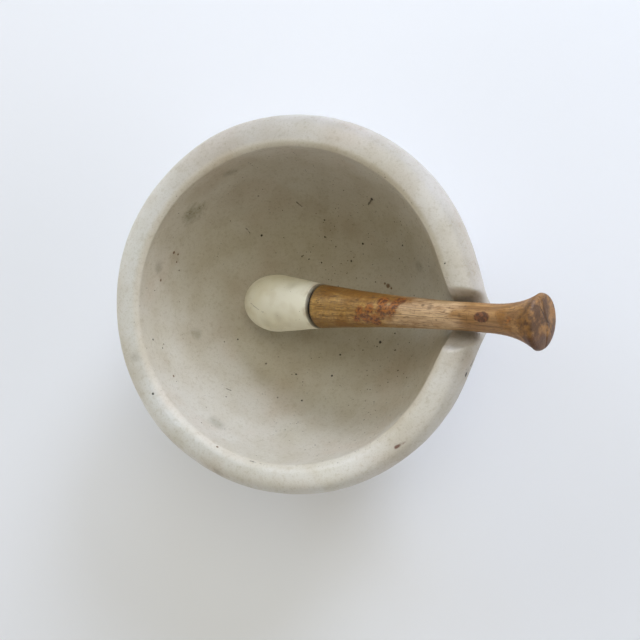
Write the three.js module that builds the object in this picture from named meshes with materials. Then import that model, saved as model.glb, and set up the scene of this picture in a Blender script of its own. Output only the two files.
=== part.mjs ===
// Apothecary's mortar and pestle: a thick stoneware bowl with a pulled pouring lip, and a pestle
// made of a porcelain head cemented on a turned wooden handle, at rest in the bowl and the lip.
// Millimetres, +Z up. The origin is the centre of the mortar's flat base, and +X leaves through the lip.
import * as THREE from 'three';

// ---- driving dimensions -------------------------------------------------------------------------
const gap = 0.3; // clearance between pieces that touch

const mortar = {
  height: 112, // base to the rim's crest
  rimRadius: 115, // outside of the rim
  crestRadius: 100.4, // highest line of the rim, close to its inner edge
  rimDrop: 16, // from the crest down to the widest line of the rim
  innerEdge: 5, // radius of the rim's inner edge
  bandTurn: 23, // depth below the crest where the rim's band turns under
  bandBottom: 36, // depth where it has run out into the wall
  bandInset: 8, // how far the wall stands back from the rim
  bowlDepth: 95.5, // crest to the middle of the bowl's floor
  bowlPower: 2.4, // 2 is an ellipse, more is squarer
  wallBulge: [92, 36], // control point of the outer wall's curve: radius, height
  footRadius: 67, // flat base, with its bead
  footHeight: 9,
  footWaist: 63.5, // above the bead
};

const lip = {
  reach: 6.9, // how far its nose would stand out of the rim with a sharp tip
  halfWidth: 37, // of the nose, where it leaves the rim
  tipRounding: 3, // of the nose's tip, across
  depth: 16.2, // of the channel at the crest
  mouthDepth: 11.3, // of the channel at its outer end
  channelHalfWidth: 20.5, // of the channel at the crest
  mouthHalfWidth: 16.5, // of the channel at its outer end
  channelPower: 2.6, // roundness of the channel's floor
  outerFade: 42, // depth below the crest where the outside is plain again
  innerFade: 56, // the same inside the bowl
};

const pestle = {
  tilt: THREE.MathUtils.degToRad(26),
  tipX: -49.2, // foot of the axis: the very tip of the head
  noseLength: 31.6, // rounded part of the head
  headRadius: 23.5, // of the head's cone, extended to the tip
  headTaper: 0.134, // radius lost per millimetre of length
  headLength: 65.3,
  edge: 1.2, // rounding of the head's back edge and of the handle's shoulder
  shoulder: 67.1, // station where the handle's body starts
  shoulderRadius: 14.3,
  neckStation: 180,
  neckRadius: 8.35,
  bodyPower: 1.8, // how the handle thins towards its neck
  flarePower: 3.4, // how it flares from the neck to the knob
  knobStation: 218.4,
  knobRadius: 15.45,
  knobEdge: 2.6,
  knobDome: 1.8,
  socketRadius: 9.2,
  socketStation: 41, // bottom of the socket in the head
  tenonRadius: 7.6,
  tenonStation: 43,
  tenonChamfer: 1.2,
  cementInset: 0.7, // the cement ring stays below the skin of the pieces it joins
};

const mortarSegments = 84;
const lipCrowding = 0.6; // share by which segments crowd together at the lip
const pestleSegments = 40;

// ---- materials ----------------------------------------------------------------------------------
const finish = (color, roughness) => new THREE.MeshStandardMaterial({ color, roughness, metalness: 0 });
const stoneware = finish(0xd2cdc0, 0.72);
const porcelain = finish(0xddd5bf, 0.68);
const cement = finish(0x2a2019, 0.8);
const hardwood = finish(0xa07a4a, 0.6);

// ---- curves -------------------------------------------------------------------------------------
const point = (x, y) => new THREE.Vector2(x, y);

// Arc of an ellipse about a centre, from one angle to another in degrees, as count + 1 points.
function arc(cx, cy, rx, ry, from, to, count) {
  return Array.from({ length: count + 1 }, (_, i) => {
    const angle = THREE.MathUtils.degToRad(THREE.MathUtils.lerp(from, to, i / count));
    return point(cx + rx * Math.cos(angle), cy + ry * Math.sin(angle));
  });
}

const curve = (start, control, end, count) =>
  new THREE.QuadraticBezierCurve(start, control, end).getPoints(count);

// A step that leaves its lower point upwards and reaches its upper point upwards.
function ogee(lower, upper, count) {
  const middle = (lower.y + upper.y) / 2;
  const handles = [point(lower.x, middle), point(upper.x, middle)];
  return new THREE.CubicBezierCurve(lower, ...handles, upper).getPoints(count);
}

// Drops a point that repeats the one before it, so that sections can share their ends.
const joined = (...sections) =>
  sections.flat().filter((p, i, all) => i === 0 || p.distanceTo(all[i - 1]) > 1e-6);

// ---- mortar -------------------------------------------------------------------------------------
const bowlRadius = mortar.crestRadius - mortar.innerEdge;
const bowlTop = mortar.height - mortar.innerEdge;
const bowlFall = mortar.bowlDepth - mortar.innerEdge;

// Height of the bowl's inner surface at a distance from its axis.
function bowlHeight(radius) {
  const share = Math.pow(radius / bowlRadius, mortar.bowlPower);
  return bowlTop - bowlFall * Math.pow(1 - share, 1 / mortar.bowlPower);
}

function bowlSection(count) {
  const power = 2 / mortar.bowlPower;
  return Array.from({ length: count + 1 }, (_, i) => {
    const angle = (Math.PI / 2) * (i / count);
    const radius = i === count ? 0 : bowlRadius * Math.pow(Math.cos(angle), power);
    return point(radius, bowlTop - bowlFall * Math.pow(Math.sin(angle), power));
  });
}

// Half section of the mortar, from the middle of its base, up the outside, and back to the bowl's floor.
function mortarSection() {
  const { height, rimRadius, crestRadius, rimDrop, innerEdge } = mortar;
  const { bandTurn, bandBottom, bandInset, footRadius, footHeight, footWaist, wallBulge } = mortar;
  const bead = footHeight / 2;
  const waist = point(footWaist, footHeight + bead / 2);
  const wallTop = point(rimRadius - bandInset, height - bandBottom);
  return joined(
    [point(0, 0), point(footRadius / 2, 0)],
    arc(footRadius - bead, bead, bead, bead, -90, 75, 5),
    curve(waist, point(...wallBulge), wallTop, 7),
    ogee(wallTop, point(rimRadius, height - bandTurn), 6),
    arc(crestRadius, height - rimDrop, rimRadius - crestRadius, rimDrop, 0, 90, 8),
    arc(crestRadius, height - innerEdge, innerEdge, innerEdge, 90, 180, 4),
    bowlSection(14),
  );
}

// Share of a displacement left at a depth below the crest: 1 at the rim, 0 at the fade depth.
const fade = (depth, end) => 1 - THREE.MathUtils.smoothstep(depth, mortar.rimDrop, end);

// Moves a point of the plain bowl of revolution to where the pulled lip takes it.
function pullLip(vertex, inside) {
  const radius = Math.hypot(vertex.x, vertex.y);
  if (vertex.x <= 0 || radius === 0) return;
  const share = fade(mortar.height - vertex.z, inside ? lip.innerFade : lip.outerFade);
  const across = Math.abs(vertex.y);
  const nose = Math.max(0, 1 - Math.hypot(across, lip.tipRounding) / lip.halfWidth) ** 2;
  const outward = THREE.MathUtils.smoothstep(radius, mortar.crestRadius, mortar.rimRadius);
  const halfWidth = THREE.MathUtils.lerp(lip.channelHalfWidth, lip.mouthHalfWidth, outward);
  const channel = Math.max(0, 1 - (across / halfWidth) ** lip.channelPower) ** 2;
  const scale = 1 + (lip.reach * nose * share) / radius;
  vertex.x *= scale;
  vertex.y *= scale;
  vertex.z -= THREE.MathUtils.lerp(lip.depth, lip.mouthDepth, outward) * channel * share;
}

function makeMortar() {
  const section = mortarSection();
  const crest = section.findIndex((p) => p.y >= mortar.height - 1e-6);
  const geometry = new THREE.LatheGeometry(section, mortarSegments);
  const position = geometry.getAttribute('position');
  const vertex = new THREE.Vector3();
  for (let i = 0; i < position.count; i++) {
    const row = i % section.length;
    const turn = Math.floor(i / section.length) % mortarSegments;
    const even = (2 * Math.PI * turn) / mortarSegments;
    const azimuth = even - lipCrowding * Math.sin(even);
    vertex.set(section[row].x * Math.cos(azimuth), section[row].x * Math.sin(azimuth), section[row].y);
    pullLip(vertex, row > crest);
    position.setXYZ(i, vertex.x, vertex.y, vertex.z);
  }
  return geometry;
}

// ---- pestle -------------------------------------------------------------------------------------
// Every profile of the pestle is measured along its axis from the tip of the head, its station.
function headRadiusAt(station) {
  const cone = pestle.headRadius - pestle.headTaper * station;
  const toNose = Math.max(0, 1 - station / pestle.noseLength);
  return cone * Math.sqrt(1 - toNose * toNose);
}

function handleRadiusAt(station) {
  const { neckStation, neckRadius, shoulder, shoulderRadius, knobStation, knobRadius } = pestle;
  if (station < neckStation) {
    const share = (neckStation - station) / (neckStation - shoulder);
    return neckRadius + (shoulderRadius - neckRadius) * share ** pestle.bodyPower;
  }
  const share = (station - neckStation) / (knobStation - neckStation);
  return neckRadius + (knobRadius - neckRadius) * share ** pestle.flarePower;
}

function headSection() {
  const { noseLength, headLength, edge, socketRadius, socketStation } = pestle;
  const nose = Array.from({ length: 13 }, (_, i) => {
    const station = noseLength * (1 - Math.cos((Math.PI / 2) * (i / 12)));
    return point(headRadiusAt(station), station);
  });
  const middle = (noseLength + headLength) / 2;
  const back = headRadiusAt(headLength - edge) - edge;
  return joined(
    nose,
    [point(headRadiusAt(middle), middle)],
    arc(back, headLength - edge, edge, edge, 0, 90, 3),
    [point(socketRadius, headLength), point(socketRadius, socketStation), point(0, socketStation)],
  );
}

function handleSection() {
  const { tenonStation, tenonRadius, tenonChamfer, shoulder, shoulderRadius, edge } = pestle;
  const { neckStation, knobStation, knobRadius, knobEdge, knobDome } = pestle;
  const stations = (from, to, count) =>
    Array.from({ length: count + 1 }, (_, i) => {
      const station = THREE.MathUtils.lerp(from, to, i / count);
      return point(handleRadiusAt(station), station);
    });
  const face = knobRadius - knobEdge;
  const knobRim = arc(face, knobStation, knobEdge, knobEdge, 0, 75, 4);
  const end = knobStation + knobEdge + knobDome;
  return joined(
    [point(0, tenonStation), point(tenonRadius - tenonChamfer, tenonStation)],
    [point(tenonRadius, tenonStation + tenonChamfer), point(tenonRadius, shoulder)],
    arc(shoulderRadius - edge, shoulder + edge, edge, edge, -90, 0, 3),
    stations(shoulder + 2 * edge, neckStation, 9),
    stations(neckStation, knobStation, 9),
    knobRim,
    curve(knobRim.at(-1), point(face / 2, end), point(0, end), 4),
  );
}

// A sleeve round the tenon with a ring between the head's back and the handle's shoulder.
function cementSection() {
  const { tenonRadius, tenonStation, socketRadius, headLength, shoulder, shoulderRadius } = pestle;
  const inner = tenonRadius + gap;
  const sleeve = socketRadius - gap;
  const start = tenonStation + gap;
  const skin = shoulderRadius - pestle.cementInset;
  return [
    point(inner, start), point(sleeve, start), point(sleeve, headLength + gap), point(skin, headLength + gap),
    point(skin, shoulder - gap), point(inner, shoulder - gap), point(inner, start),
  ];
}

// The lowest height of the tip that keeps the head's underside one gap above the bowl.
function restingHeight() {
  const along = point(Math.cos(pestle.tilt), Math.sin(pestle.tilt));
  let height = 0;
  for (let station = 0; station <= pestle.headLength; station += 0.25) {
    const radius = headRadiusAt(station);
    const x = pestle.tipX + station * along.x + radius * along.y;
    const rise = station * along.y - radius * along.x;
    height = Math.max(height, bowlHeight(Math.abs(x)) + gap - rise);
  }
  return height;
}

// ---- assembly -----------------------------------------------------------------------------------
function mesh(name, geometry, material) {
  const made = new THREE.Mesh(geometry, material);
  made.name = name;
  return made;
}

// A body of revolution whose stations run along its own +Z.
const turned = (section) => new THREE.LatheGeometry(section, pestleSegments).rotateX(Math.PI / 2);

const pestleGroup = new THREE.Group();
pestleGroup.add(
  mesh('pestle_head', turned(headSection()), porcelain),
  mesh('joint_cement', turned(cementSection()), cement),
  mesh('pestle_handle', turned(handleSection()), hardwood),
);
pestleGroup.position.set(pestle.tipX, 0, restingHeight());
pestleGroup.rotation.y = Math.PI / 2 - pestle.tilt;

const group = new THREE.Group();
group.add(mesh('mortar', makeMortar(), stoneware), pestleGroup);

export default group;
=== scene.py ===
"""Looks of an apothecary's mortar and pestle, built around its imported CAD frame.

Metres, +Z up. The mortar stands on its base at the origin and its pouring lip points along +X.
Each CAD node is replaced by a finer mesh of the same shape, with the unevenness and wear of real use.
"""
import math

import bmesh
import bpy
import numpy as np
from mathutils import Matrix, Vector


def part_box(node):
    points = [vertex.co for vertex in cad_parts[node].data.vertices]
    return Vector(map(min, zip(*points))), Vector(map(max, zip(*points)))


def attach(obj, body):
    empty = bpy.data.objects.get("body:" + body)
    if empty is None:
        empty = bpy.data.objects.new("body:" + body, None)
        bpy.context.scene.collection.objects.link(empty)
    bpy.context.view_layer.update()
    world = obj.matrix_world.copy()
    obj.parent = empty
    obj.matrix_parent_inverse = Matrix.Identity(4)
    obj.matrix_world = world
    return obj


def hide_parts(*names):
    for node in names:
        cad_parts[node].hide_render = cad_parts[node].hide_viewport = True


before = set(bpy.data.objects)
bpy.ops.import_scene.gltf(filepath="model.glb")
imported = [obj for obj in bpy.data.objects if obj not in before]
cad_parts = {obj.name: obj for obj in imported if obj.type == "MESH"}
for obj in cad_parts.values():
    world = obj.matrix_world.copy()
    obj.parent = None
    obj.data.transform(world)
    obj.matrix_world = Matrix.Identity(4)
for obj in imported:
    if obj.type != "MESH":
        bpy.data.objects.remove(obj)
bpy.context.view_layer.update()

MM = 0.001
SHARP_ANGLE = math.radians(50)  # between faces that meet in a crisp edge


# ---- curves and surfaces ------------------------------------------------------------------------
# A section is an array of (radius, height) pairs, and a surface is an array of rows of points.
def smoothstep(value, low, high):
    share = np.clip((value - low) / (high - low), 0, 1)
    return share * share * (3 - 2 * share)


def bell(value, centre, width):
    """1 at the centre, falling to almost nothing two widths away."""
    return np.exp(-(((value - centre) / width) ** 2))


def arc(centre, radii, start, end, count=24):
    """Arc of an ellipse, from one angle to another in degrees."""
    angle = np.radians(np.linspace(start, end, count + 1))
    return np.stack([centre[0] + radii[0] * np.cos(angle), centre[1] + radii[1] * np.sin(angle)], axis=1)


def bezier(*controls, count=60):
    share = np.linspace(0, 1, count + 1)[:, None]
    points = [np.array([control], float) for control in controls]
    while len(points) > 1:
        points = [a + (b - a) * share for a, b in zip(points, points[1:])]
    return points[0]


def joined(*sections):
    """One section from several, without points that repeat the one before."""
    points = np.vstack(sections)
    step = np.linalg.norm(np.diff(points, axis=0), axis=1)
    return points[np.concatenate([[True], step > 1e-7])]


def evenly(section, spacing):
    """The same line, with points about spacing apart."""
    steps = np.linalg.norm(np.diff(section, axis=0), axis=1)
    along = np.concatenate([[0], np.cumsum(steps)])
    places = np.linspace(0, along[-1], max(2, round(along[-1] / spacing) + 1))
    return np.stack([np.interp(places, along, section[:, i]) for i in (0, 1)], axis=1)


def even_azimuths(count):
    return np.arange(count) * (2 * math.pi / count)


def revolve(section, azimuths):
    """The surface that a section sweeps round the Z axis."""
    radius, height = section[:, :1], section[:, 1:]
    level = np.zeros_like(azimuths)
    return np.stack([radius * np.cos(azimuths), radius * np.sin(azimuths), height + level], axis=-1)


def outward(surface):
    """Unit normals of a surface whose rows climb its outside and whose columns run anticlockwise."""
    turn = np.roll(surface, -1, axis=1) - np.roll(surface, 1, axis=1)
    normal = np.cross(turn, np.gradient(surface, axis=0))
    return normal / np.maximum(np.linalg.norm(normal, axis=-1, keepdims=True), 1e-12)


def ripple(points, wavelength, seed, waves=24):
    """Smooth random values, mostly within -1..1, that vary over about a wavelength."""
    random = np.random.default_rng(seed)
    directions = random.normal(size=(3, waves))
    directions /= np.linalg.norm(directions, axis=0)
    directions *= 2 * math.pi / wavelength * random.uniform(0.6, 1.5, waves)
    phases = random.uniform(0, 2 * math.pi, waves)
    return np.sin(points @ directions + phases).sum(axis=-1) / math.sqrt(waves)


def skin(name, surface, ring=False):
    """A closed mesh over a surface: its end rows are single points, unless it closes on itself."""
    rows, columns = surface.shape[:2]
    index = np.arange(rows * columns).reshape(rows, columns)
    if not ring:
        index[0], index[-1] = index[0, 0], index[-1, 0]
    lower, upper = (index, np.roll(index, -1, axis=0)) if ring else (index[:-1], index[1:])
    around = [lower, np.roll(lower, -1, axis=1), np.roll(upper, -1, axis=1), upper]
    quads = np.stack(around, axis=-1).reshape(-1, 4).tolist()
    mesh = bpy.data.meshes.new(name)
    mesh.from_pydata(surface.reshape(-1, 3).tolist(), [], [tuple(dict.fromkeys(q)) for q in quads])
    cleaner = bmesh.new()
    cleaner.from_mesh(mesh)
    bmesh.ops.delete(cleaner, geom=[v for v in cleaner.verts if not v.link_faces], context="VERTS")
    cleaner.to_mesh(mesh)
    cleaner.free()
    mesh.shade_smooth()
    mesh.set_sharp_from_angle(angle=SHARP_ANGLE)
    piece = bpy.data.objects.new(name, mesh)
    bpy.context.scene.collection.objects.link(piece)
    return piece


# ---- mortar: shape ------------------------------------------------------------------------------
MORTAR_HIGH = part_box("mortar")[1]
HEIGHT = MORTAR_HIGH.z
RIM_RADIUS = MORTAR_HIGH.y
CREST_RADIUS = RIM_RADIUS - 14.6 * MM
RIM_DROP = 16 * MM  # from the crest down to the widest line of the rim
INNER_EDGE = 5 * MM
BAND_TURN = 23 * MM  # depth below the crest where the rim's band turns under
BAND_BOTTOM = 36 * MM
BAND_INSET = 8 * MM
BOWL_DEPTH = 95.5 * MM
BOWL_POWER = 2.4
WALL_BULGE = (92 * MM, 36 * MM)
FOOT_RADIUS = 67 * MM
FOOT_HEIGHT = 9 * MM
FOOT_WAIST = 63.5 * MM

LIP_REACH = 6.9 * MM
LIP_HALF_WIDTH = 37 * MM
LIP_TIP = 3 * MM  # rounds the lip's point in plan
LIP_DEPTH = 16.2 * MM
MOUTH_DEPTH = 11.3 * MM
CHANNEL_HALF_WIDTH = 18 * MM
MOUTH_HALF_WIDTH = 14.8 * MM
CHANNEL_SHIFT = -2 * MM  # the real channel isn't quite in line with the pestle that rests in it
CHANNEL_POWER = 3.2
CHANNEL_SIDES = 1.8
RIM_POWER = 2.7  # how flat the rim's top is: 2 is an ellipse
WIDER_RIM = 2.6 * MM  # how much further in the crest lies on the rim's wide side
WIDE_AZIMUTH = math.radians(105)
WIDE_SPREAD = 0.8  # below 1, the wide side reaches more than a quarter turn each way
WIDE_POWER = 1.3
WIDE_DEPTH = 50 * MM
WALL_STAYS = 0.8  # share of the move that the bowl's wall doesn't make
OUTER_FADE = 42 * MM
INNER_FADE = 56 * MM

BOWL_RADIUS = CREST_RADIUS - INNER_EDGE
BOWL_TOP = HEIGHT - INNER_EDGE
BOWL_FALL = BOWL_DEPTH - INNER_EDGE

MORTAR_COLUMNS = 352
LIP_CROWDING = 0.6  # how much closer together the columns are at the lip
FOOT_STEP = 0.9 * MM
WALL_STEP = 2 * MM
RIM_STEP = 1.1 * MM
EDGE_STEP = 0.7 * MM
UPPER_STEP = 0.9 * MM
UPPER_DEPTH = 30 * MM  # of the bowl's finer part


def bowl_section():
    angle = np.radians(np.linspace(0, 90, 400))
    power = 2 / BOWL_POWER
    radius = BOWL_RADIUS * np.cos(angle) ** power
    radius[-1] = 0
    return np.stack([radius, BOWL_TOP - BOWL_FALL * np.sin(angle) ** power], axis=1)


def mortar_outside():
    bead = FOOT_HEIGHT / 2
    waist = (FOOT_WAIST, FOOT_HEIGHT + bead / 2)
    wall_top = (RIM_RADIUS - BAND_INSET, HEIGHT - BAND_BOTTOM)
    band = (RIM_RADIUS, HEIGHT - BAND_TURN)
    middle = (wall_top[1] + band[1]) / 2
    foot = evenly(arc((FOOT_RADIUS - bead, bead), (bead, bead), -90, 75), FOOT_STEP)
    wall = joined(
        bezier(waist, WALL_BULGE, wall_top),
        bezier(wall_top, (wall_top[0], middle), (band[0], middle), band),
    )
    turn = np.radians(np.linspace(0, 90, 200))
    power = 2 / RIM_POWER
    rim = np.stack([
        CREST_RADIUS + (RIM_RADIUS - CREST_RADIUS) * np.cos(turn) ** power,
        HEIGHT - RIM_DROP + RIM_DROP * np.sin(turn) ** power,
    ], axis=1)
    underside = [(0, 0), (FOOT_RADIUS / 2, 0)]
    return joined(underside, foot, evenly(wall, WALL_STEP), evenly(rim, RIM_STEP))


def mortar_inside():
    edge = arc((CREST_RADIUS, HEIGHT - INNER_EDGE), (INNER_EDGE, INNER_EDGE), 90, 180)
    bowl = bowl_section()
    fine = bowl[:, 1] > HEIGHT - UPPER_DEPTH
    upper, lower = bowl[fine], bowl[np.flatnonzero(fine)[-1]:]
    return joined(evenly(edge, EDGE_STEP), evenly(upper, UPPER_STEP), evenly(lower, WALL_STEP))


def widen_rim(surface, crest_row):
    """Moves the crest in on the rim's wide side. The walls below it stay nearly where they are."""
    x, y, z = np.moveaxis(surface, -1, 0)
    radius = np.maximum(np.hypot(x, y), 1e-9)
    depth = HEIGHT - z
    turn = (np.arctan2(y, x) - WIDE_AZIMUTH + math.pi) % (2 * math.pi) - math.pi
    toward = np.clip(np.cos(WIDE_SPREAD * turn), 0, 1) ** WIDE_POWER
    edge = 1 - WALL_STAYS * smoothstep(depth, 0.3 * INNER_EDGE, INNER_EDGE)
    share = edge * (1 - smoothstep(depth, INNER_EDGE, WIDE_DEPTH))
    top = (1 - smoothstep(radius, CREST_RADIUS, RIM_RADIUS)) * (depth < RIM_DROP)
    share[: crest_row + 1] = top[: crest_row + 1]
    inward = WIDER_RIM * toward * share / radius
    return np.stack([x * (1 - inward), y * (1 - inward), z], axis=-1)


def pull_lip(surface, crest_row):
    """Moves the plain bowl of revolution to where its pulled lip takes it."""
    x, y, z = np.moveaxis(surface, -1, 0)
    radius = np.maximum(np.hypot(x, y), 1e-9)
    across = np.abs(y)
    fade = np.full(x.shape, INNER_FADE)
    fade[: crest_row + 1] = OUTER_FADE
    share = (1 - smoothstep(HEIGHT - z, RIM_DROP, fade)) * (x > 0)
    nose = np.maximum(0, 1 - np.hypot(across, LIP_TIP) / LIP_HALF_WIDTH) ** 2
    out = smoothstep(radius, CREST_RADIUS, RIM_RADIUS)
    half_width = CHANNEL_HALF_WIDTH + (MOUTH_HALF_WIDTH - CHANNEL_HALF_WIDTH) * out
    off_line = np.abs(y - CHANNEL_SHIFT * (1 - out))
    channel = np.maximum(0, 1 - (off_line / half_width) ** CHANNEL_POWER) ** CHANNEL_SIDES
    stretch = 1 + LIP_REACH * nose * share / radius
    drop = (LIP_DEPTH + (MOUTH_DEPTH - LIP_DEPTH) * out) * channel * share
    return np.stack([x * stretch, y * stretch, z - drop], axis=-1)


# Nicks and worn places: x, y and z, the radius and the depth, in millimetres.
NICKS = [
    (112, 27, 101, 2.6, 0.55),
    (109, -31, 101, 2.8, 0.5),
    (113, -24, 98, 2.2, 0.45),
    (-36, -104, 108, 4.0, 0.45),
    (-42, -101, 108, 2.4, 0.35),
    (95, 62, 101, 2.4, 0.3),
    (-98, 56, 103, 3.0, 0.35),
    (-113, -14, 98, 2.6, 0.4),
    (28, 110, 102, 3.2, 0.3),
    (70, -89, 103, 2.6, 0.3),
    (60, -27, 4, 3.0, 0.6),
    (-52, 41, 4, 3.6, 0.6),
    (-20, -63, 5, 2.8, 0.5),
]

LEDGE_DEPTH = 9.2 * MM  # of the shallow ledge inside the rim, below the crest
LEDGE_WIDTH = 0.9 * MM
LEDGE_CUT = 0.35 * MM
INSIDE_RISE = 0.1 * MM  # the most that the bowl's inside stands proud, so that the pestle clears it


def mortar_wear(surface, crest_row):
    """How far each point of the mortar stands out from its plain shape, or in where it is negative."""
    height = surface[..., 2]
    depth = HEIGHT - height
    outside = (np.arange(len(surface)) <= crest_row)[:, None]
    uneven = 0.22 * MM * ripple(surface, 70 * MM, seed=11) + 0.05 * MM * ripple(surface, 13 * MM, seed=12)
    rings = 0.09 * MM * np.sin(2 * math.pi * height / (11.3 * MM) + 2 * ripple(surface, 90 * MM, seed=13))
    rings += 0.03 * MM * np.sin(2 * math.pi * height / (4.1 * MM))
    rings *= smoothstep(depth, RIM_DROP, BAND_TURN)
    azimuth = np.arctan2(surface[..., 1], surface[..., 0])
    worn_side = np.clip(np.cos(azimuth - WIDE_AZIMUTH), 0.15, 1) * (surface[..., 0] < 0.8 * CREST_RADIUS)
    ledge = -LEDGE_CUT * bell(depth, LEDGE_DEPTH, LEDGE_WIDTH) * worn_side
    proud = np.where(outside, uneven + rings, np.minimum(uneven, INSIDE_RISE) + ledge)
    for x, y, z, radius, dent in NICKS:
        far = np.linalg.norm(surface - np.array([x, y, z]) * MM, axis=-1)
        proud = proud - dent * MM * bell(far, 0, radius * MM * 0.7)
    return proud * smoothstep(height, 0, 3 * MM)


def make_mortar():
    outside, inside = mortar_outside(), mortar_inside()
    crest_row = len(outside) - 1
    section = joined(outside, inside)
    even = even_azimuths(MORTAR_COLUMNS)
    surface = revolve(section, even - LIP_CROWDING * np.sin(even))
    surface = pull_lip(widen_rim(surface, crest_row), crest_row)
    surface = surface + outward(surface) * mortar_wear(surface, crest_row)[..., None]
    return skin("mortar_body", surface)


# ---- pestle: shape ------------------------------------------------------------------------------
# Stations are measured along the pestle's axis from the tip of its head.
HEAD_LOW, HEAD_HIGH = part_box("pestle_head")
TILT = math.radians(26)
NOSE_LENGTH = 31.6 * MM
HEAD_RADIUS = 23.5 * MM  # of the head's cone, extended to the tip
HEAD_TAPER = 0.134
HEAD_LENGTH = 65.3 * MM
EDGE = 1.2 * MM
SOCKET_RADIUS = 9.2 * MM
SOCKET_STATION = 41 * MM
TENON_RADIUS = 7.6 * MM
TENON_STATION = 43 * MM
TENON_CHAMFER = 1.2 * MM
SHOULDER = 67.1 * MM
SHOULDER_RADIUS = 14.3 * MM
NECK = 180 * MM
NECK_RADIUS = 8.35 * MM
BODY_POWER = 1.8
FLARE_POWER = 3.4
KNOB = 218.4 * MM
KNOB_RADIUS = 15.45 * MM
KNOB_EDGE = 2.6 * MM
KNOB_DOME = 1.8 * MM
GAP = 0.3 * MM
CEMENT_INSET = 0.7 * MM
BACK_LEAN = 1.3 * MM  # how much nearer the handle the head's back edge comes on one side

PESTLE_COLUMNS = 144


def head_radius(station):
    to_nose = np.maximum(0, 1 - station / NOSE_LENGTH)
    return (HEAD_RADIUS - HEAD_TAPER * station) * np.sqrt(1 - to_nose * to_nose)


def handle_radius(station):
    body = np.clip((NECK - station) / (NECK - SHOULDER), 0, None) ** BODY_POWER
    flare = np.clip((station - NECK) / (KNOB - NECK), 0, None) ** FLARE_POWER
    return NECK_RADIUS + (SHOULDER_RADIUS - NECK_RADIUS) * body + (KNOB_RADIUS - NECK_RADIUS) * flare


def pestle_frame():
    """Places the pestle's own frame, +X up and +Z along its axis, so that its head fills its CAD box."""
    axis = Vector((math.cos(TILT), 0, math.sin(TILT)))
    above = Vector((-math.sin(TILT), 0, math.cos(TILT)))
    station = np.linspace(0, HEAD_LENGTH, 1000)
    radius = head_radius(station)
    tip = Vector((
        HEAD_LOW.x - float((station * axis.x - radius * axis.z).min()),
        (HEAD_LOW.y + HEAD_HIGH.y) / 2,
        HEAD_LOW.z - float((station * axis.z - radius * axis.x).min()),
    ))
    turn = Matrix((above, axis.cross(above), axis)).transposed()
    return Matrix.Translation(tip) @ turn.to_4x4()


PESTLE = pestle_frame()


def along_pestle(surface):
    """Takes a surface from the pestle's own frame to the row frame."""
    turn = np.array(PESTLE.to_3x3())
    return surface @ turn.T + np.array(PESTLE.translation)


def head_section():
    turn = np.radians(np.linspace(0, 90, 40))
    nose = NOSE_LENGTH * (1 - np.cos(turn))
    cone = np.linspace(NOSE_LENGTH, HEAD_LENGTH - EDGE, 24)
    side = np.concatenate([nose, cone])
    back = float(head_radius(HEAD_LENGTH - EDGE)) - EDGE
    return joined(
        np.stack([head_radius(side), side], axis=1),
        arc((back, HEAD_LENGTH - EDGE), (EDGE, EDGE), 0, 90, count=6),
        [(SOCKET_RADIUS, HEAD_LENGTH), (SOCKET_RADIUS, SOCKET_STATION), (0, SOCKET_STATION)],
    )


def handle_section():
    station = np.linspace(SHOULDER + 2 * EDGE, KNOB, 150)
    face = KNOB_RADIUS - KNOB_EDGE
    rim = arc((face, KNOB), (KNOB_EDGE, KNOB_EDGE), 0, 75, count=10)
    end = KNOB + KNOB_EDGE + KNOB_DOME
    return joined(
        [(0, TENON_STATION), (TENON_RADIUS - TENON_CHAMFER, TENON_STATION)],
        [(TENON_RADIUS, TENON_STATION + TENON_CHAMFER), (TENON_RADIUS, SHOULDER)],
        arc((SHOULDER_RADIUS - EDGE, SHOULDER + EDGE), (EDGE, EDGE), -90, 0, count=8),
        np.stack([handle_radius(station), station], axis=1),
        rim,
        bezier(rim[-1], (face / 2, end), (0, end), count=14),
    )


def cement_section():
    """A sleeve round the tenon, with a ring between the head's back and the handle's shoulder."""
    inner, sleeve = TENON_RADIUS + GAP, SOCKET_RADIUS - GAP
    start, back, front = TENON_STATION + GAP, HEAD_LENGTH + GAP, SHOULDER - GAP
    outer = SHOULDER_RADIUS - CEMENT_INSET
    sleeve_corners = [(inner, start), (sleeve, start), (sleeve, back)]
    ring_corners = [(outer, back), (outer, front), (inner, front)]
    return np.array(sleeve_corners + ring_corners)


def make_head():
    """The head isn't quite round, and its back edge isn't quite square to its axis."""
    surface = revolve(head_section(), even_azimuths(PESTLE_COLUMNS))
    radius = np.maximum(np.hypot(surface[..., 0], surface[..., 1]), 1e-9)
    station = surface[..., 2]
    shown = smoothstep(radius, SOCKET_RADIUS, SOCKET_RADIUS + 2 * MM)
    uneven = 0.09 * MM * ripple(surface, 26 * MM, seed=21) + 0.02 * MM * ripple(surface, 7 * MM, seed=22)
    chipped = np.clip(ripple(surface, 5 * MM, seed=23) - 0.9, 0, 1)
    chips = 0.4 * MM * chipped * bell(station, HEAD_LENGTH, EDGE)
    surface[..., :2] *= (1 + (uneven - chips) * shown / radius)[..., None]
    lean = np.clip(-surface[..., 1] / HEAD_RADIUS, 0, 1)
    surface[..., 2] += BACK_LEAN * lean * smoothstep(station, HEAD_LENGTH - 12 * MM, HEAD_LENGTH) * shown
    return skin("pestle_head_body", along_pestle(surface))


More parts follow.
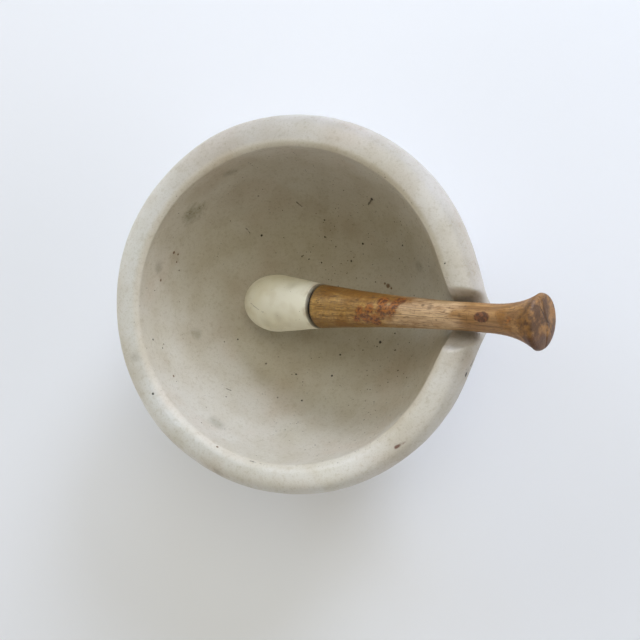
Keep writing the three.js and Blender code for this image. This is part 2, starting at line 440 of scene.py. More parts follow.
def make_handle():
    """Hand-turned, so that it swells and narrows a little, with a drying crack in its end."""
    surface = revolve(handle_section(), even_azimuths(PESTLE_COLUMNS))
    radius = np.maximum(np.hypot(surface[..., 0], surface[..., 1]), 1e-9)
    station = surface[..., 2]
    shown = smoothstep(station, SHOULDER, SHOULDER + 3 * MM)
    uneven = 0.1 * MM * ripple(surface, 30 * MM, seed=31)
    uneven += 0.025 * MM * np.sin(2 * math.pi * station / (3.3 * MM) + ripple(surface, 20 * MM, seed=32))
    oval = -0.25 * MM * (surface[..., 1] / radius) ** 2 * smoothstep(station, SHOULDER, NECK)
    surface[..., :2] *= (1 + (uneven + oval) * shown / radius)[..., None]
    crack = bell(surface[..., 0] + 0.4 * surface[..., 1], 1.5 * MM, 0.7 * MM) * (station > KNOB)
    surface[..., 2] -= 0.5 * MM * crack
    return skin("pestle_handle_body", along_pestle(surface))


def make_cement():
    """The ring was wiped by hand, so its edge stands in by different amounts."""
    surface = revolve(cement_section(), even_azimuths(PESTLE_COLUMNS))
    radius = np.hypot(surface[..., 0], surface[..., 1])
    ring = radius > SOCKET_RADIUS
    sunk = 0.3 * MM * (2 + np.clip(ripple(surface, 8 * MM, seed=41), -1, 1))
    surface[..., :2] *= (1 - ring * sunk / radius)[..., None]
    return skin("joint_cement_ring", along_pestle(surface), ring=True)


# ---- materials ----------------------------------------------------------------------------------
def colour(red, green, blue):
    """Linear colour from display values of 0 to 255."""
    shares = [value / 255 for value in (red, green, blue)]
    linear = [s / 12.92 if s <= 0.04045 else ((s + 0.055) / 1.055) ** 2.4 for s in shares]
    return (*linear, 1)


class Paint:
    """One material's nodes. Most methods add a few, and give back the socket that carries the result."""

    def __init__(self, name):
        self.material = bpy.data.materials.new(name)
        self.material.use_nodes = True
        self.tree = self.material.node_tree
        self.shader = self.tree.nodes["Principled BSDF"]
        self.places = self.node("ShaderNodeTexCoord").outputs["Object"]

    def give(self, socket, value):
        if isinstance(value, bpy.types.NodeSocket):
            self.tree.links.new(value, socket)
        else:
            socket.default_value = value

    def node(self, kind, inputs=(), **settings):
        node = self.tree.nodes.new(kind)
        for name, value in settings.items():
            setattr(node, name, value)
        for socket, value in dict(inputs).items():
            self.give(node.inputs[socket], value)
        return node

    def math(self, operation, *values):
        return self.node("ShaderNodeMath", enumerate(values), operation=operation).outputs[0]

    def vector(self, operation, *values):
        return self.node("ShaderNodeVectorMath", enumerate(values), operation=operation)

    def plus(self, *values):
        total = values[0]
        for value in values[1:]:
            total = self.math("ADD", total, value)
        return total

    def times(self, *values):
        total = values[0]
        for value in values[1:]:
            total = self.math("MULTIPLY", total, value)
        return total

    def ramp(self, value, low, high, start=0.0, end=1.0):
        """Goes smoothly from start to end while the value goes from low to high, in either direction."""
        sockets = {"Value": value, "From Min": low, "From Max": high, "To Min": start, "To Max": end}
        return self.node("ShaderNodeMapRange", sockets, interpolation_type="SMOOTHSTEP").outputs[0]

    def mix(self, share, first, second, blend="MIX"):
        sockets = {0: share, 6: first, 7: second}
        return self.node("ShaderNodeMix", sockets, data_type="RGBA", blend_type=blend).outputs[2]

    def tinted(self, base, share, tint):
        """The base, in a share of the places multiplied by a tint."""
        return self.mix(share, base, tint, "MULTIPLY")

    def parts(self, vector):
        return self.node("ShaderNodeSeparateXYZ", {0: vector}).outputs

    def moved(self, vector, shift=(0, 0, 0), scale=(1, 1, 1)):
        sockets = {"Vector": vector, "Location": shift, "Scale": scale}
        return self.node("ShaderNodeMapping", sockets).outputs[0]

    def noise(self, size, seed=0, detail=2.0, stretch=(1, 1, 1), places=None, warp=0.0):
        """Noise of about a size in metres. Stretch makes it longer along an axis."""
        scale = [1 / (size * s) for s in stretch]
        points = self.moved(places or self.places, (seed * 7.3, seed * 3.1, seed * 5.7), scale)
        sockets = {"Vector": points, "Scale": 1.0, "Detail": detail, "Distortion": warp}
        return self.node("ShaderNodeTexNoise", sockets).outputs[0]

    def shaken(self, size, amount):
        """The places, each moved by up to about an amount, so that marks on them have ragged edges."""
        points = self.moved(self.places, scale=[1 / size] * 3)
        sockets = {"Vector": points, "Scale": 1.0, "Detail": 2.0}
        shift = self.node("ShaderNodeTexNoise", sockets).outputs[1]
        centred = self.vector("SUBTRACT", shift, (0.5, 0.5, 0.5)).outputs[0]
        scaled = self.vector("MULTIPLY", centred, [3 * amount] * 3).outputs[0]
        return self.vector("ADD", self.places, scaled).outputs[0]

    def specks(self, cell, radius, share, seed=0):
        """Round dots, no more than one to a cell, in a share of the cells and with their own sizes."""
        points = self.moved(self.places, (seed * 5.1, seed * 2.9, seed * 3.7), [1 / cell] * 3)
        dots = self.node("ShaderNodeTexVoronoi", {"Vector": points, "Scale": 1.0})
        pick, size = list(self.parts(dots.outputs["Color"]))[:2]
        limit = self.times(self.ramp(size, 0, 1, 0.45, 1.2), radius / cell)
        dot = self.ramp(self.math("DIVIDE", dots.outputs["Distance"], limit), 1.0, 0.6)
        return self.times(dot, self.math("LESS_THAN", pick, share))

    def blots(self, places, marks, soft=0.35):
        """1 within each mark's radius, falling to 0 outside. A mark is x, y, z and radius, in millimetres."""
        total = 0.0
        for x, y, z, radius in marks:
            centre = (x * MM, y * MM, z * MM)
            far = self.vector("DISTANCE", places, centre).outputs["Value"]
            mark = self.ramp(far, radius * MM * (1 + soft), radius * MM * (1 - soft))
            total = self.math("MAXIMUM", total, mark)
        return total

    def lines(self, places, strokes):
        """Thin straight marks. A stroke is two ends and a half width, in millimetres."""
        total = 0.0
        for start, end, width in strokes:
            start, end = Vector(start) * MM, Vector(end) * MM
            along = (end - start).normalized()
            offset = self.vector("SUBTRACT", places, start).outputs[0]
            run = self.vector("DOT_PRODUCT", offset, along).outputs["Value"]
            run = self.math("MINIMUM", self.math("MAXIMUM", run, 0.0), (end - start).length)
            foot = self.node("ShaderNodeCombineXYZ", {i: self.times(run, along[i]) for i in range(3)})
            far = self.vector("DISTANCE", offset, foot.outputs[0]).outputs["Value"]
            total = self.math("MAXIMUM", total, self.ramp(far, width * MM * 1.4, width * MM * 0.5))
        return total

    def scratches(self, cell, width, length, share, turn, seed=0):
        """Short straight scratches, all running roughly one way."""
        sockets = {"Vector": self.places, "Rotation": turn}
        turned = self.node("ShaderNodeMapping", sockets).outputs[0]
        points = self.moved(turned, (seed * 4.1, seed * 1.7, seed * 3.3), [1 / length, 1 / cell, 1 / cell])
        dots = self.node("ShaderNodeTexVoronoi", {"Vector": points, "Scale": 1.0})
        pick, size = list(self.parts(dots.outputs["Color"]))[:2]
        line = self.ramp(dots.outputs["Distance"], width / cell, 0.4 * width / cell)
        return self.times(line, self.math("LESS_THAN", pick, share), self.ramp(size, 0, 1, 0.3, 1))

    def finish(self, base, roughness, relief):
        """Joins up the shader. Relief is a height in millimetres."""
        bump = self.node("ShaderNodeBump", {"Height": relief, "Distance": MM, "Strength": 1.0})
        self.give(self.shader.inputs["Base Color"], base)
        self.give(self.shader.inputs["Roughness"], roughness)
        self.give(self.shader.inputs["Normal"], bump.outputs[0])
        return self.material


# Stoneware colours. A tint multiplies what it lies on.
RIM_PALE = colour(212, 212, 208)
RIM_PAINTED_SHADE = colour(182, 178, 172)
CREST_HIGHLIGHT = colour(234, 232, 226)
CREST_HIGHLIGHT_SHADED = colour(203, 199, 191)
BOWL_TONE = colour(201, 196, 184)
BROAD_TINT = colour(246, 243, 238)
CLOUD_TINT = colour(236, 231, 221)
PINK_TINT = colour(250, 236, 228)
GREEN_TINT = colour(244, 243, 234)
FLECK_TINT = colour(228, 223, 212)
GRAIN_TINT = colour(224, 220, 210)
WARM_TINT = colour(214, 196, 176)
SMUDGE_TINT = colour(158, 154, 138)
GRIME_TINT = colour(176, 172, 140)
LARGE_SPECK = colour(66, 57, 44)
SMALL_SPECK = colour(70, 60, 46)
SCRATCH = colour(96, 88, 76)
BROWN_PIT = colour(104, 72, 38)
DARK_MARK = colour(38, 33, 27)
RED_MARK = colour(98, 46, 30)

BOWL_MARGIN = 7 * MM  # how far past its own surface the bowl's colour begins to fade
PAINTED_SHADE_WAY = (0.75, 0.66)  # painted shade: the rim is painted darker this way, in x and y, towards the window lights
PAINTED_SHADE_FROM, PAINTED_SHADE_FULL = -90 * MM, 100 * MM
HIGHLIGHT_DEPTH = 2.6 * MM  # of the crest's painted highlight, a paler band on the lip's side

# Marks on the mortar, in millimetres: x, y, z and radius. A stroke is two ends and a half width.
DARK_SPECKS = [
    (-94, 4, 91, 0.6), (-44, 47, 33, 0.8), (0.6, 59, 30, 0.8), (0, 48, 24, 0.7), (-17, 34, 21, 0.7),
    (-12, 32, 20, 0.6), (-3, 30, 19, 0.7), (37.5, 71.5, 50.5, 1.1), (28, 44, 26, 0.8), (58, 43, 40, 0.7),
    (19, 32, 21, 0.8), (35, 30, 24, 0.7), (44, -23, 25, 1.0), (42, -26, 25, 0.5), (54.5, -16, 28.5, 0.6),
    (56, -27, 32, 0.5), (66, -21, 37, 0.5), (15, -34, 21, 0.8), (11, -49, 25, 0.8), (60, -40, 39.5, 0.6),
    (-37, -44, 29, 0.6), (-58, -28, 33, 0.6), (-15, -50, 26, 0.7), (-7, -67, 35.5, 0.7),
    (-91, -27.5, 96.5, 0.7), (-90, -32.5, 107, 0.5), (-88, -33, 88, 0.7), (-81, -60, 112, 0.8),
    (94.5, 29, 112, 0.4), (8, -104, 111, 0.7), (37, -100, 110, 0.7), (56, -97, 106, 0.6),
    (113.5, -25, 99.5, 2.0), (112.5, -27.5, 101, 1.4), (110, -33, 103.5, 1.6),
    (61, -65.5, 68, 0.6), (-77, -54, 88, 0.5),
]
BROWN_PITS = [
    (-88, 30, 79.5, 1.0), (-87, 29, 75, 0.8), (-88, 24, 74, 0.7), (-93, 11, 86, 0.9),
    (-79.5, -51, 88, 0.8), (-5, 63, 33, 0.7), (-9, 66, 36, 0.55), (-37, -89, 110, 0.7),
    (47, 16, 25, 1.5), (44.5, 17.5, 24.5, 0.9), (49.5, 14.5, 26, 0.8),
]
SMUDGES = [
    (-75, 55, 81, 5.5), (-71, 59, 79, 3.2), (-47, 82, 89, 4.0), (-92.5, 20, 91, 4.5), (-49, -80, 83, 5.0),
    (-80, -24, 55, 3.5), (70, 29.5, 44, 3.5), (106, -31, 107, 2.0), (109.5, -30, 103, 2.0),
    (-95, -38, 110, 3.0), (-36, -104, 107, 3.2), (112, 27, 101, 1.4), (-38, 50, 44, 4.0),
]
WARM_STAINS = [
    (-55, 68, 62, 9.0), (20, 55, 30, 8.0), (4, 54, 27, 7.0), (-39, 36, 27, 8.0), (-10, -23, 18, 5.0),
    (-85, -42, 89, 2.6), (-87, 27, 77, 4.0), (-90, 14, 84, 5.0), (-4, 66, 36, 6.0), (36, 70, 48, 2.6),
    (-64, -20, 40, 9.0), (-62, 72, 93, 8.0), (-50, 80, 95, 8.0), (-36, 88, 94, 8.0),
]
GRIME = [(-75, 56, 82, 6.5), (-70, 60, 78, 4.5)]
DARK_STROKES = [
    ((-17, 70, 40), (-14, 67, 37), 0.5),
    ((-57, 58, 52), (-51, 48, 38), 0.45),
    ((-57, -61, 53.5), (-53, -62, 52), 0.4),
    ((-15, -95, 110), (-4, -96, 110), 0.45),
    ((38, 72, 51), (34.5, 69, 45), 0.6),
    ((110, 30, 104), (111, 26, 103), 0.6),
]
RUST_STROKES = [
    ((73, -77, 111), (79, -72, 110), 1.0),
]


def stoneware():
    """Unglazed and off-white: cleaner on the rim, and stained, pitted and scratched in the bowl."""
    paint = Paint("stoneware")
    x, y, z = paint.parts(paint.places)
    radius = paint.math("SQRT", paint.plus(paint.times(x, x), paint.times(y, y)))
    fallen = paint.math("MAXIMUM", paint.math("SUBTRACT", BOWL_TOP, z), 0.0)
    wall = paint.plus(
        paint.math("POWER", paint.math("DIVIDE", radius, BOWL_RADIUS + BOWL_MARGIN), BOWL_POWER),
        paint.math("POWER", paint.math("DIVIDE", fallen, BOWL_FALL + BOWL_MARGIN), BOWL_POWER),
    )
    inside = paint.ramp(wall, 0.95, 0.86)
    broad = paint.noise(55 * MM, seed=1)
    cloud = paint.noise(16 * MM, seed=2, detail=5)
    tint = paint.noise(34 * MM, seed=3, detail=3)
    grain = paint.noise(0.9 * MM, seed=4, detail=3)
    fleck = paint.noise(2.4 * MM, seed=8, detail=4)
    # Painted shade: the rim's colour darkens along the window lights' direction, and so does the crest's
    # painted highlight.
    across_rim = paint.plus(*[paint.times(axis, share) for axis, share in zip((x, y), PAINTED_SHADE_WAY)])
    lit_side_shade = paint.ramp(across_rim, PAINTED_SHADE_FROM, PAINTED_SHADE_FULL)
    rim = paint.mix(lit_side_shade, RIM_PALE, RIM_PAINTED_SHADE)
    # Painted highlight: a paler band along the top of the crest on the lip's side.
    crest = paint.mix(lit_side_shade, CREST_HIGHLIGHT, CREST_HIGHLIGHT_SHADED)
    lip_side = paint.ramp(x, -50 * MM, 50 * MM)
    crest_highlight = paint.times(paint.ramp(z, HEIGHT - HIGHLIGHT_DEPTH, HEIGHT), lip_side)
    rim = paint.mix(crest_highlight, rim, crest)
    base = paint.mix(inside, rim, BOWL_TONE)
    base = paint.tinted(base, paint.ramp(broad, 0.35, 0.65), BROAD_TINT)
    base = paint.tinted(base, paint.ramp(cloud, 0.42, 0.66, 0, 0.4), CLOUD_TINT)
    base = paint.tinted(base, paint.times(paint.ramp(tint, 0.5, 0.68), 0.25), PINK_TINT)
    base = paint.tinted(base, paint.times(paint.ramp(tint, 0.5, 0.34), 0.3), GREEN_TINT)
    base = paint.tinted(base, paint.ramp(fleck, 0.5, 0.72, 0, 0.45), FLECK_TINT)
    base = paint.tinted(base, paint.ramp(grain, 0.5, 0.75, 0, 0.5), GRAIN_TINT)

    loose = paint.shaken(9 * MM, 2.2 * MM)
    ragged = paint.shaken(1.6 * MM, 0.35 * MM)
    stains = paint.blots(loose, WARM_STAINS, soft=0.8)
    base = paint.tinted(base, paint.times(stains, 0.24), WARM_TINT)
    smudges = paint.times(paint.blots(loose, SMUDGES, soft=0.7), paint.ramp(cloud, 0.3, 0.6, 0.35, 1))
    base = paint.tinted(base, paint.times(smudges, 0.36), SMUDGE_TINT)
    grime = paint.times(paint.blots(loose, GRIME, soft=0.8), paint.ramp(fleck, 0.35, 0.6, 0.45, 1))
    base = paint.tinted(base, paint.times(grime, 0.55), GRIME_TINT)

    thick = paint.ramp(paint.plus(paint.noise(26 * MM, seed=5), paint.times(x, 1.6)), 0.4, 0.58)
    few = paint.times(paint.specks(6 * MM, 0.6 * MM, 0.4, seed=1), paint.ramp(inside, 0, 1, 0.3, 1))
    many = paint.times(paint.specks(2.3 * MM, 0.46 * MM, 0.5, seed=2), thick, inside)
    base = paint.mix(paint.times(few, 0.75), base, LARGE_SPECK)
    base = paint.mix(paint.times(many, 0.75), base, SMALL_SPECK)
    scratches = paint.math(
        "MAXIMUM",
        paint.scratches(5 * MM, 0.3 * MM, 60 * MM, 0.12, (0.4, 0.5, 0.9), seed=1),
        paint.scratches(5 * MM, 0.3 * MM, 50 * MM, 0.12, (-0.3, 0.6, -0.8), seed=2),
    )
    base = paint.mix(paint.times(scratches, 0.3, inside), base, SCRATCH)
    pits = paint.blots(ragged, BROWN_PITS)
    strokes = paint.times(paint.lines(ragged, DARK_STROKES), 0.7)
    dark = paint.math("MAXIMUM", paint.blots(ragged, DARK_SPECKS), strokes)
    base = paint.mix(paint.times(pits, 0.85), base, BROWN_PIT)
    base = paint.mix(paint.times(dark, 0.95), base, DARK_MARK)
    base = paint.mix(paint.times(paint.lines(ragged, RUST_STROKES), 0.85), base, RED_MARK)

    rough = paint.plus(
        paint.ramp(cloud, 0.3, 0.7, 0.5, 0.66),
        paint.times(grain, 0.1),
        paint.times(smudges, 0.08),
    )
    holes = paint.plus(
        paint.times(few, 0.12),
        paint.times(many, 0.05),
        paint.times(pits, 0.3),
        paint.times(dark, 0.2),
    )
    relief = paint.plus(
        paint.times(grain, 0.035),
        paint.times(paint.noise(3.5 * MM, seed=7), 0.06),
        paint.times(scratches, -0.03),
        paint.times(holes, -1.0),
    )
    return paint.finish(base, rough, relief)


def pestle_places(paint):
    """The pestle's own frame: +X up, +Y to world -Y and +Z along it from the tip."""
    sockets = {
        "Vector": paint.places,
        "Location": PESTLE.translation,
        "Rotation": PESTLE.to_euler(),
    }
    return paint.node("ShaderNodeMapping", sockets, vector_type="TEXTURE").outputs[0]


# Porcelain colours.
HEAD_CREAM = colour(241, 236, 214)
HEAD_WHITE = colour(248, 244, 227)
HEAD_CLOUD = colour(218, 208, 180)
HEAD_GROUND = colour(176, 168, 146)
HEAD_SMUDGE = colour(150, 140, 110)
HEAD_EDGE = colour(168, 138, 92)
HEAD_BACK = colour(66, 50, 32)
HEAD_DOT = colour(128, 116, 86)
HEAD_SPECK = colour(118, 98, 66)
HEAD_CRACK = colour(92, 78, 56)

# Marks on the pestle, in millimetres and in its own frame: up, across, station and radius.
HEAD_SMUDGES = [
    (13.7, 13.6, 29.6, 3.4), (18, -8, 12, 3.0), (16, 9, 42, 3.6), (12, -14, 50, 4.0), (-18, 6, 20, 6.0),
]
HEAD_STROKES = [
    ((19.1, 1, 18.6), (19.4, 3.6, 24), 0.28),
    ((19.4, 3.6, 24), (18.3, 6.5, 30.4), 0.28),
]


def biscuit_porcelain():
    """Cream and unglazed, finely speckled, a little darker where it grinds."""
    paint = Paint("biscuit_porcelain")
    paint.places = pestle_places(paint)
    station = paint.parts(paint.places)[2]
    cloud = paint.noise(9 * MM, seed=1, detail=4)
    broad = paint.noise(28 * MM, seed=2)
    grain = paint.noise(0.7 * MM, seed=3, detail=3)
    base = paint.mix(paint.ramp(broad, 0.35, 0.65), HEAD_CREAM, HEAD_WHITE)
    base = paint.mix(paint.ramp(cloud, 0.45, 0.72, 0, 0.32), base, HEAD_CLOUD)
    ground = paint.times(paint.ramp(station, 20 * MM, 0, 0, 0.45), paint.ramp(cloud, 0.3, 0.6, 0.4, 1))
    base = paint.mix(ground, base, HEAD_GROUND)
    ragged = paint.shaken(2 * MM, 0.3 * MM)
    loose = paint.shaken(6 * MM, 1.4 * MM)
    smudges = paint.blots(loose, HEAD_SMUDGES, soft=0.8)
    base = paint.mix(paint.times(smudges, 0.16), base, HEAD_SMUDGE)
    edge = paint.times(paint.ramp(station, HEAD_LENGTH - 4 * MM, HEAD_LENGTH), paint.ramp(cloud, 0.4, 0.62))
    base = paint.mix(paint.times(edge, 0.5), base, HEAD_EDGE)
    back = paint.ramp(station, HEAD_LENGTH - 0.8 * MM, HEAD_LENGTH - 0.2 * MM)
    base = paint.mix(paint.times(back, 0.6), base, HEAD_BACK)
    dots = paint.specks(2.0 * MM, 0.28 * MM, 0.5, seed=1)
    large = paint.specks(7 * MM, 0.42 * MM, 0.4, seed=2)
    base = paint.mix(paint.times(dots, 0.65), base, HEAD_DOT)
    base = paint.mix(paint.times(large, 0.5), base, HEAD_SPECK)
    crack = paint.lines(ragged, HEAD_STROKES)
    base = paint.mix(paint.times(crack, 0.42), base, HEAD_CRACK)
    rough = paint.plus(paint.ramp(cloud, 0.3, 0.7, 0.46, 0.62), paint.times(grain, 0.1))
    relief = paint.plus(
        paint.times(grain, 0.03),
        paint.times(cloud, 0.04),
        paint.times(large, -0.08),
        paint.times(crack, -0.1),
    )
    return paint.finish(base, rough, relief)


# Wood colours.
PALE_WOOD = colour(212, 180, 140)
MID_WOOD = colour(178, 144, 106)
BROWN_WOOD = colour(148, 112, 72)
HELD_LIGHT = colour(158, 113, 52)
HELD_DARK = colour(112, 72, 24)
AGED_LIGHT = colour(200, 156, 80)
AGED_DARK = colour(146, 106, 42)
AGED_MOTTLE = colour(118, 96, 62)
FLANK_SHADE_BROWN = colour(132, 94, 36)
AMBER = colour(132, 84, 12)
RUST_DARK = colour(82, 32, 4)
RUST_LIGHT = colour(162, 94, 20)
KNOB_DARK = colour(70, 40, 10)
KNOB_LIGHT = colour(138, 94, 38)
END_DARK = colour(60, 32, 8)
END_LIGHT = colour(152, 108, 54)
CORNER_BROWN = colour(72, 38, 16)
PORE = colour(78, 52, 26)
GRAIN_DASH = colour(84, 58, 34)
CROSS_MARK = colour(96, 68, 42)
SHOULDER_DARK = colour(34, 24, 15)
FIBRE = colour(110, 78, 42)
SPOT = colour(78, 54, 34)
SCORCH_DARK = colour(64, 30, 10)
SCORCH_LIGHT = colour(112, 62, 28)
END_CRACK = colour(44, 30, 20)

# Places on the handle, in metres from the tip of the head.
HELD_FROM, HELD_FULL = 178 * MM, 194 * MM  # browned by hands beyond here
AGED_UNTIL, AGED_FULL = 122 * MM, 96 * MM  # yellowed towards the head
KNOB_STAIN_FROM, KNOB_STAIN_FULL = 221.5 * MM, 224.5 * MM

RED_STAINS = [
    (10, 5, 111, 4.4), (10, -1, 114, 3.6), (10, -0.4, 123, 5.2), (9.7, -0.7, 129, 4.2), (11, 1, 106.5, 3.0),
    (9, 6, 104, 2.6), (8.5, -5.5, 122, 4.0), (8, 6, 117, 4.6), (7, -7, 134, 4.0), (8.5, -4, 131, 3.6),
    (8, 0, 206, 2.6), (-9, 2, 120, 6.0), (-8, -4, 150, 4.0),
]
AMBER_STAINS = [
    (7, 7.6, 117, 7.0), (6, -7.5, 138, 6.0), (8, 6, 104, 6.0), (8, -9, 96, 9.0), (8, -10, 80, 9.0),
    (8.5, -2.7, 199.5, 3.6), (9, 1, 201, 3.2), (8, 3, 205, 3.6), (5, 9, 92, 8.0), (-10, 0, 100, 12.0),
    (6, -8, 104, 6.0), (6, -8, 112, 6.5), (6.5, -7.5, 122, 6.0), (6.5, -7, 130, 6.0), (7, 4, 128, 4.0),
]
DARK_SPOTS = [
    (13, -3.4, 71, 0.5), (13, -4, 75, 0.6), (9.4, -6, 103, 0.8), (11, 4.7, 92, 0.6), (8, -4, 155, 1.4),
    (7.5, -5, 150, 1.0), (8, -0.6, 175, 1.0), (6, -6, 177, 0.8), (8, -2, 165, 0.7), (8, 3, 160, 0.6),
]
OVAL_STRETCH = 1.55
OVAL_MARK = [(8.2, -0.5, 188.8 / OVAL_STRETCH, 3.0)]
END_CRACKS = [
    ((8, -8, 221.5), (4, -3, 222.3), 0.35),
    ((4, -3, 222.3), (1, -1, 222.7), 0.25),
    ((1, -1, 222.7), (-6, 5, 222.2), 0.35),
    ((9, 2, 221.3), (3, 1, 222.5), 0.2),
]
CORNER_STAINS = [(3, 11, 220, 6.5), (8, 10, 219, 5.0), (-5, 12, 220, 5.5), (-11, 6, 220, 4.5)]


def turned_hardwood():
    """Bare wood, pale where hands have worn it, ambered towards the head and stained on the knob."""
    paint = Paint("turned_hardwood")
    paint.places = pestle_places(paint)
    up, across, station = paint.parts(paint.places)
    streaks = paint.noise(2.6 * MM, seed=1, detail=4, stretch=(1, 1, 24), warp=0.3)
    fibres = paint.noise(0.55 * MM, seed=2, detail=3, stretch=(1, 1, 30))
    pores = paint.noise(0.5 * MM, seed=3, detail=1, stretch=(1, 1, 9))
    cloud = paint.noise(9 * MM, seed=4, detail=5, stretch=(1, 1, 1.8))
    mottle = paint.noise(2.2 * MM, seed=6, detail=4)
    end_grain = paint.noise(0.9 * MM, seed=8, detail=3)

    base = paint.mix(paint.ramp(streaks, 0.35, 0.65), PALE_WOOD, MID_WOOD)
    base = paint.mix(paint.ramp(cloud, 0.48, 0.66, 0, 0.7), base, BROWN_WOOD)
    handled = paint.ramp(paint.plus(station, paint.times(cloud, 30 * MM)), HELD_FROM, HELD_FULL)
    held = paint.mix(paint.ramp(streaks, 0.32, 0.66), HELD_LIGHT, HELD_DARK)
    base = paint.mix(paint.times(handled, 0.85), base, held)
    aged = paint.ramp(paint.plus(station, paint.times(cloud, -40 * MM)), AGED_UNTIL, AGED_FULL)
    old = paint.mix(paint.ramp(streaks, 0.3, 0.7), AGED_LIGHT, AGED_DARK)
    old = paint.mix(paint.ramp(mottle, 0.4, 0.7, 0, 0.5), old, AGED_MOTTLE)
    base = paint.mix(paint.times(aged, 0.92), base, old)
    # Painted shade: darker brown along the handle's flanks, fading out away from the head.
    side = paint.ramp(paint.math("ABSOLUTE", across), 6 * MM, 13 * MM, 0, 0.75)
    painted_flank_shade = paint.times(side, paint.ramp(station, 160 * MM, 95 * MM), paint.ramp(cloud, 0.3, 0.55, 0.4, 1))
    base = paint.mix(painted_flank_shade, base, FLANK_SHADE_BROWN)

    ragged = paint.shaken(1.5 * MM, 0.4 * MM)
    rough_edge = paint.plus(paint.times(cloud, 1.1), paint.times(mottle, 0.7), -0.9)
    amber = paint.blots(paint.places, AMBER_STAINS, soft=0.9)
    amber = paint.ramp(paint.plus(amber, rough_edge), 0.35, 1.05)
    base = paint.mix(paint.times(amber, 0.68), base, AMBER)
    red = paint.blots(paint.places, RED_STAINS, soft=0.7)
    red = paint.ramp(paint.plus(red, rough_edge), 0.28, 0.92)
    flakes = paint.noise(1.8 * MM, seed=7, detail=4)
    rust = paint.mix(paint.ramp(flakes, 0.4, 0.58), RUST_DARK, RUST_LIGHT)
    base = paint.mix(paint.times(red, 0.92), base, rust)

    uneven = paint.plus(paint.times(cloud, 10 * MM), paint.times(up, 0.35), paint.times(mottle, 3 * MM))
    knob = paint.ramp(paint.plus(station, uneven), KNOB_STAIN_FROM, KNOB_STAIN_FULL)
    tanned = paint.mix(paint.ramp(mottle, 0.35, 0.62), KNOB_DARK, KNOB_LIGHT)
    base = paint.mix(paint.times(knob, 0.8), base, tanned)
    face = paint.ramp(station, KNOB + 0.6 * MM, KNOB + 2.4 * MM)
    patches = paint.plus(paint.noise(6 * MM, seed=12, detail=5), paint.times(end_grain, 0.16), -0.08)
    weathered = paint.mix(paint.ramp(patches, 0.4, 0.6), END_DARK, END_LIGHT)
    base = paint.mix(paint.times(face, 0.85), base, weathered)
    corner = paint.blots(paint.places, CORNER_STAINS, soft=0.8)
    corner = paint.ramp(paint.plus(corner, rough_edge), 0.35, 0.75)
    base = paint.mix(paint.times(corner, 0.8), base, CORNER_BROWN)

    pore = paint.times(paint.ramp(pores, 0.60, 0.70), paint.ramp(cloud, 0.3, 0.6, 0.4, 1))
    base = paint.mix(paint.times(pore, 0.75), base, PORE)
    dashes = paint.ramp(paint.noise(0.9 * MM, seed=9, detail=2, stretch=(1, 1, 16)), 0.58, 0.68)
    base = paint.mix(paint.times(dashes, 0.55), base, GRAIN_DASH)
    cross = paint.ramp(paint.noise(1.1 * MM, seed=10, detail=2, stretch=(3, 3, 0.7)), 0.62, 0.74)
    base = paint.mix(paint.times(cross, 0.5), base, CROSS_MARK)
    # A darker band on the handle's rounded shoulder, right beside the joint.
    shoulder = paint.ramp(station, SHOULDER + 2 * MM, SHOULDER + 0.9 * MM)
    base = paint.mix(paint.times(shoulder, 0.92), base, SHOULDER_DARK)
    base = paint.mix(paint.times(paint.ramp(fibres, 0.38, 0.66), 0.35), base, FIBRE)
    spots = paint.blots(ragged, DARK_SPOTS, soft=0.6)
    base = paint.mix(paint.times(spots, 0.5), base, SPOT)
    oval = paint.blots(paint.moved(ragged, scale=(1, 1, 1 / OVAL_STRETCH)), OVAL_MARK, soft=0.15)
    scorch = paint.mix(paint.ramp(mottle, 0.4, 0.6), SCORCH_DARK, SCORCH_LIGHT)
    base = paint.mix(paint.times(oval, 0.92), base, scorch)
    cracks = paint.lines(ragged, END_CRACKS)
    base = paint.mix(paint.times(cracks, 0.85), base, END_CRACK)

    rough = paint.plus(
        paint.ramp(cloud, 0.3, 0.7, 0.42, 0.6),
        paint.times(fibres, 0.12),
        paint.times(red, -0.08),
    )
    relief = paint.plus(
        paint.times(fibres, 0.06),
        paint.times(streaks, 0.08),
        paint.times(pore, -0.06),
        paint.times(dashes, -0.08),
        paint.times(cracks, -0.4),
        paint.times(end_grain, face, 0.1),
    )
    return paint.finish(base, rough, relief)


# Cement colours.
CEMENT_DARK = colour(9, 7, 6)
CEMENT_DUSTY = colour(28, 22, 17)


def dark_cement():
    """Near-black resin cement, rough and dusty."""
    paint = Paint("dark_cement")
    paint.places = pestle_places(paint)
    dust = paint.noise(2.5 * MM, seed=1, detail=4)
    grain = paint.noise(0.5 * MM, seed=2, detail=3)
    base = paint.mix(paint.ramp(dust, 0.4, 0.75), CEMENT_DARK, CEMENT_DUSTY)
    rough = paint.plus(paint.ramp(dust, 0.3, 0.7, 0.55, 0.8), paint.times(grain, 0.1))
    return paint.finish(base, rough, paint.plus(paint.times(dust, 0.25), paint.times(grain, 0.05)))


# ---- light, floor and camera --------------------------------------------------------------------
CAMERA_PLACE = Vector((0.1417, 0.0087, 0.5337))
CAMERA_AIM = Vector((0.0098, -0.0091, 0.06))
CAMERA_TOP = Vector((-0.0634, 0.9978, -0.0198))
CAMERA_LENS = 42.19
SENSOR = 36

FLOOR_HALF = 40  # far enough that its edge looks like a horizon
FLOOR_COLOUR = (0.83, 0.85, 0.9, 1)
LIGHT_AIM = Vector((0, 0, 0.06))
LIGHT_DISTANCE = 2.2
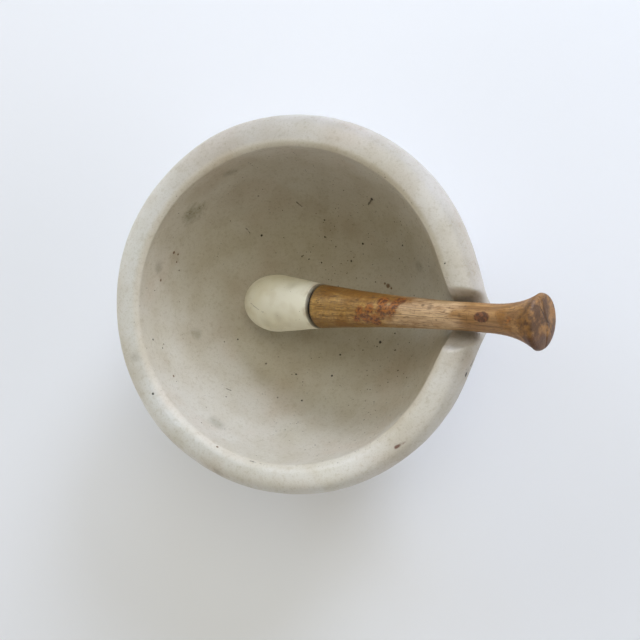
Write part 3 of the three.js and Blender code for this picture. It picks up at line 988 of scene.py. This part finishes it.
# Soft lights: azimuth from +X towards +Y and elevation in degrees, diameter in metres, watts and colour.
LIGHTS = {
    "window": (60, 24, 0.8, 23, (0.88, 0.97, 1.15)),
    "window_side": (85, 24, 0.8, 4, (0.7, 0.9, 1.4)),
    "window_low": (70, 16, 0.8, 12, (0.83, 0.94, 1.23)),
    "window_far": (135, 30, 0.8, 5, (0.78, 0.98, 1.24)),
    "ceiling": (60, 60, 1.6, 11, (1.05, 1.03, 0.92)),
    "right_wall": (0, 12, 1.6, 14, (1.03, 0.99, 0.98)),
    "far_wall": (150, 14, 1.6, 9, (1.18, 1.02, 0.8)),
    "left_wall": (215, 14, 1.6, 9, (1.05, 1.02, 0.93)),
    "near_wall": (250, 14, 1.6, 4, (0.82, 0.86, 1.32)),
}
HORIZON = (0.42, 0.42, 0.4)
ZENITH = (0.28, 0.26, 0.19)
ZENITH_FROM = 0.8  # height of a unit direction above which the sky is all zenith


def facing(place, aim, top):
    """A matrix at place, looking at aim along its -Z."""
    ahead = (aim - place).normalized()
    right = ahead.cross(top).normalized()
    turn = Matrix((right, right.cross(ahead), -ahead)).transposed()
    return Matrix.Translation(place) @ turn.to_4x4()


def make_camera():
    data = bpy.data.cameras.new("camera")
    data.lens = CAMERA_LENS
    data.sensor_width = SENSOR
    camera = bpy.data.objects.new("camera", data)
    camera.matrix_world = facing(CAMERA_PLACE, CAMERA_AIM, CAMERA_TOP)
    bpy.context.scene.collection.objects.link(camera)
    bpy.context.scene.camera = camera


def make_light(name, azimuth, elevation, size, watts, tint):
    data = bpy.data.lights.new(name, "AREA")
    data.shape = "DISK"
    data.size = size
    data.energy = watts
    data.color = tint
    turn, rise = math.radians(azimuth), math.radians(elevation)
    way = Vector((math.cos(rise) * math.cos(turn), math.cos(rise) * math.sin(turn), math.sin(rise)))
    light = bpy.data.objects.new(name, data)
    light.matrix_world = facing(LIGHT_AIM + LIGHT_DISTANCE * way, LIGHT_AIM, Vector((0.01, 0.02, 1)))
    light.visible_camera = False
    bpy.context.scene.collection.objects.link(light)


def make_sky():
    """Pale at the horizon and dimmer overhead, as in a room lit from its sides."""
    world = bpy.data.worlds.new("room")
    world.use_nodes = True
    nodes, links = world.node_tree.nodes, world.node_tree.links
    ways = nodes.new("ShaderNodeTexCoord")
    split = nodes.new("ShaderNodeSeparateXYZ")
    rise = nodes.new("ShaderNodeMapRange")
    rise.inputs["From Min"].default_value = 0.0
    rise.inputs["From Max"].default_value = ZENITH_FROM
    blend = nodes.new("ShaderNodeMix")
    blend.data_type = "RGBA"
    blend.inputs[6].default_value = (*HORIZON, 1)
    blend.inputs[7].default_value = (*ZENITH, 1)
    links.new(ways.outputs["Generated"], split.inputs[0])
    links.new(split.outputs[2], rise.inputs["Value"])
    links.new(rise.outputs[0], blend.inputs[0])
    links.new(blend.outputs[2], nodes["Background"].inputs["Color"])
    bpy.context.scene.world = world


def make_floor():
    reach = FLOOR_HALF
    corners = [(-reach, -reach, 0), (reach, -reach, 0), (reach, reach, 0), (-reach, reach, 0)]
    mesh = bpy.data.meshes.new("floor")
    mesh.from_pydata(corners, [], [(0, 1, 2, 3)])
    floor = bpy.data.objects.new("floor", mesh)
    bpy.context.scene.collection.objects.link(floor)
    material = bpy.data.materials.new("pale_floor")
    material.use_nodes = True
    shader = material.node_tree.nodes["Principled BSDF"]
    shader.inputs["Base Color"].default_value = FLOOR_COLOUR
    shader.inputs["Roughness"].default_value = 0.9
    mesh.materials.append(material)


bpy.context.scene.view_settings.view_transform = "Standard"
make_camera()
make_sky()
for light_name, light_facts in LIGHTS.items():
    make_light(light_name, *light_facts)
make_floor()

# ---- pieces: what makes each, the CAD node it replaces, its body and its material ----------------
PIECES = [
    (make_mortar, "mortar", "mortar", "stoneware", stoneware),
    (make_head, "pestle_head", "pestle", "biscuit_porcelain", biscuit_porcelain),
    (make_cement, "joint_cement", "pestle", "dark_cement", dark_cement),
    (make_handle, "pestle_handle", "pestle", "turned_hardwood", turned_hardwood),
]
for make, node, body, slot, finish_of in PIECES:
    piece = make()
    piece.data.materials.append(finish_of())
    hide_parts(node)
    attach(piece, body)
